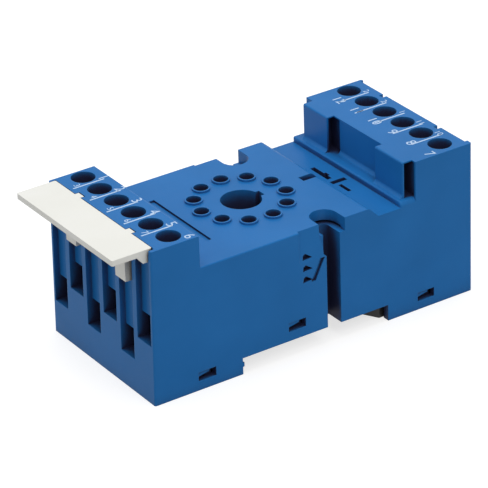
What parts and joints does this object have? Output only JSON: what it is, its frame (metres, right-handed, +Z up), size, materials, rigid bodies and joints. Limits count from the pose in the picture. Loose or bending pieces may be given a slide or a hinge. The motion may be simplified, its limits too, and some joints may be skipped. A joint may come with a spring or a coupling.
{
  "type": "relay socket",
  "caption": "Socket for a round-base plug-in relay, with pin holes round a keyed centre hole, box clamp terminals at both ends, a sprung rail latch and a marker plate.",
  "frame": {"origin": "centre of the overall footprint, marker plate included, on the surface that the feet stand on", "axes": "+X along the socket, from the marker plate to the far terminal block; +Y across it; +Z up, out of the relay seat"},
  "size_m": [0.085, 0.038, 0.034],
  "materials": {
    "body": "moulded, fine satin grain, blue",
    "marker": "moulded, satin, white",
    "latch": "moulded, satin, black",
    "spring_steel": "drawn wire, bright",
    "contact_brass": "stamped strip",
    "clamp_steel": "stamped and plated",
    "screw_steel": "zinc plated"
  },
  "bodies": {
    "socket": {"housing": "body", "base_cover": "body", "latch_spring": "spring_steel", "contact_01": "contact_brass", "contact_02": "contact_brass", "contact_03": "contact_brass", "contact_04": "contact_brass", "contact_05": "contact_brass", "contact_06": "contact_brass", "contact_07": "contact_brass", "contact_08": "contact_brass", "contact_09": "contact_brass", "contact_10": "contact_brass", "contact_11": "contact_brass"},
    "latch": {"rail_latch": "latch"},
    "marker": {"marker_plate": "marker"},
    "screw_01": {"clamp_screw_01": "screw_steel"},
    "cage_01": {"clamp_cage_01": "clamp_steel"},
    "screw_02": {"clamp_screw_02": "screw_steel"},
    "cage_02": {"clamp_cage_02": "clamp_steel"},
    "screw_03": {"clamp_screw_03": "screw_steel"},
    "cage_03": {"clamp_cage_03": "clamp_steel"},
    "screw_04": {"clamp_screw_04": "screw_steel"},
    "cage_04": {"clamp_cage_04": "clamp_steel"},
    "screw_05": {"clamp_screw_05": "screw_steel"},
    "cage_05": {"clamp_cage_05": "clamp_steel"},
    "screw_06": {"clamp_screw_06": "screw_steel"},
    "cage_06": {"clamp_cage_06": "clamp_steel"},
    "screw_07": {"clamp_screw_07": "screw_steel"},
    "cage_07": {"clamp_cage_07": "clamp_steel"},
    "screw_08": {"clamp_screw_08": "screw_steel"},
    "cage_08": {"clamp_cage_08": "clamp_steel"},
    "screw_09": {"clamp_screw_09": "screw_steel"},
    "cage_09": {"clamp_cage_09": "clamp_steel"},
    "screw_10": {"clamp_screw_10": "screw_steel"},
    "cage_10": {"clamp_cage_10": "clamp_steel"},
    "screw_11": {"clamp_screw_11": "screw_steel"},
    "cage_11": {"clamp_cage_11": "clamp_steel"},
    "screw_12": {"clamp_screw_12": "screw_steel"},
    "cage_12": {"clamp_cage_12": "clamp_steel"}
  },
  "joints": [
    {"name": "latch_slide", "type": "slide", "parent": "socket", "child": "latch", "axis": [1, 0, 0], "range_m": [0, 0.0032], "stiffness_N_per_m": 700, "springref_m": -0.003, "deforming": ["latch_spring"]},
    {"name": "marker_lift", "type": "slide", "parent": "socket", "child": "marker", "axis": [0, 0, 1], "range_m": [0, 0.012]},
    {"name": "screw_turn_01", "type": "hinge", "parent": "socket", "child": "screw_01", "pos_m": [-0.02832, 0.0161, 0.02], "axis": [0, 0, 1], "range_deg": [-1800, 0]},
    {"name": "cage_rise_01", "type": "slide", "parent": "socket", "child": "cage_01", "axis": [0, 0, 1], "range_m": [0, 0.0025]},
    {"name": "screw_turn_02", "type": "hinge", "parent": "socket", "child": "screw_02", "pos_m": [-0.02832, 0.00982, 0.02], "axis": [0, 0, 1], "range_deg": [-1800, 0]},
    {"name": "cage_rise_02", "type": "slide", "parent": "socket", "child": "cage_02", "axis": [0, 0, 1], "range_m": [0, 0.0025]},
    {"name": "screw_turn_03", "type": "hinge", "parent": "socket", "child": "screw_03", "pos_m": [-0.02832, 0.00354, 0.02], "axis": [0, 0, 1], "range_deg": [-1800, 0]},
    {"name": "cage_rise_03", "type": "slide", "parent": "socket", "child": "cage_03", "axis": [0, 0, 1], "range_m": [0, 0.0025]},
    {"name": "screw_turn_04", "type": "hinge", "parent": "socket", "child": "screw_04", "pos_m": [-0.02832, -0.00274, 0.02], "axis": [0, 0, 1], "range_deg": [-1800, 0]},
    {"name": "cage_rise_04", "type": "slide", "parent": "socket", "child": "cage_04", "axis": [0, 0, 1], "range_m": [0, 0.0025]},
    {"name": "screw_turn_05", "type": "hinge", "parent": "socket", "child": "screw_05", "pos_m": [-0.02832, -0.00902, 0.02], "axis": [0, 0, 1], "range_deg": [-1800, 0]},
    {"name": "cage_rise_05", "type": "slide", "parent": "socket", "child": "cage_05", "axis": [0, 0, 1], "range_m": [0, 0.0025]},
    {"name": "screw_turn_06", "type": "hinge", "parent": "socket", "child": "screw_06", "pos_m": [-0.02832, -0.0153, 0.02], "axis": [0, 0, 1], "range_deg": [-1800, 0]},
    {"name": "cage_rise_06", "type": "slide", "parent": "socket", "child": "cage_06", "axis": [0, 0, 1], "range_m": [0, 0.0025]},
    {"name": "screw_turn_07", "type": "hinge", "parent": "socket", "child": "screw_07", "pos_m": [0.03707, 0.0161, 0.02], "axis": [0, 0, 1], "range_deg": [-1800, 0]},
    {"name": "cage_rise_07", "type": "slide", "parent": "socket", "child": "cage_07", "axis": [0, 0, 1], "range_m": [0, 0.0025]},
    {"name": "screw_turn_08", "type": "hinge", "parent": "socket", "child": "screw_08", "pos_m": [0.03707, 0.00982, 0.02], "axis": [0, 0, 1], "range_deg": [-1800, 0]},
    {"name": "cage_rise_08", "type": "slide", "parent": "socket", "child": "cage_08", "axis": [0, 0, 1], "range_m": [0, 0.0025]},
    {"name": "screw_turn_09", "type": "hinge", "parent": "socket", "child": "screw_09", "pos_m": [0.03707, 0.00354, 0.02], "axis": [0, 0, 1], "range_deg": [-1800, 0]},
    {"name": "cage_rise_09", "type": "slide", "parent": "socket", "child": "cage_09", "axis": [0, 0, 1], "range_m": [0, 0.0025]},
    {"name": "screw_turn_10", "type": "hinge", "parent": "socket", "child": "screw_10", "pos_m": [0.03707, -0.00274, 0.02], "axis": [0, 0, 1], "range_deg": [-1800, 0]},
    {"name": "cage_rise_10", "type": "slide", "parent": "socket", "child": "cage_10", "axis": [0, 0, 1], "range_m": [0, 0.0025]},
    {"name": "screw_turn_11", "type": "hinge", "parent": "socket", "child": "screw_11", "pos_m": [0.03707, -0.00902, 0.02], "axis": [0, 0, 1], "range_deg": [-1800, 0]},
    {"name": "cage_rise_11", "type": "slide", "parent": "socket", "child": "cage_11", "axis": [0, 0, 1], "range_m": [0, 0.0025]},
    {"name": "screw_turn_12", "type": "hinge", "parent": "socket", "child": "screw_12", "pos_m": [0.03707, -0.0153, 0.02], "axis": [0, 0, 1], "range_deg": [-1800, 0]},
    {"name": "cage_rise_12", "type": "slide", "parent": "socket", "child": "cage_12", "axis": [0, 0, 1], "range_m": [0, 0.0025]}
  ],
  "couplings": [
    {"joint": "screw_turn_01", "follows": "cage_rise_01", "rad_per_m": -12566},
    {"joint": "screw_turn_02", "follows": "cage_rise_02", "rad_per_m": -12566},
    {"joint": "screw_turn_03", "follows": "cage_rise_03", "rad_per_m": -12566},
    {"joint": "screw_turn_04", "follows": "cage_rise_04", "rad_per_m": -12566},
    {"joint": "screw_turn_05", "follows": "cage_rise_05", "rad_per_m": -12566},
    {"joint": "screw_turn_06", "follows": "cage_rise_06", "rad_per_m": -12566},
    {"joint": "screw_turn_07", "follows": "cage_rise_07", "rad_per_m": -12566},
    {"joint": "screw_turn_08", "follows": "cage_rise_08", "rad_per_m": -12566},
    {"joint": "screw_turn_09", "follows": "cage_rise_09", "rad_per_m": -12566},
    {"joint": "screw_turn_10", "follows": "cage_rise_10", "rad_per_m": -12566},
    {"joint": "screw_turn_11", "follows": "cage_rise_11", "rad_per_m": -12566},
    {"joint": "screw_turn_12", "follows": "cage_rise_12", "rad_per_m": -12566}
  ]
}
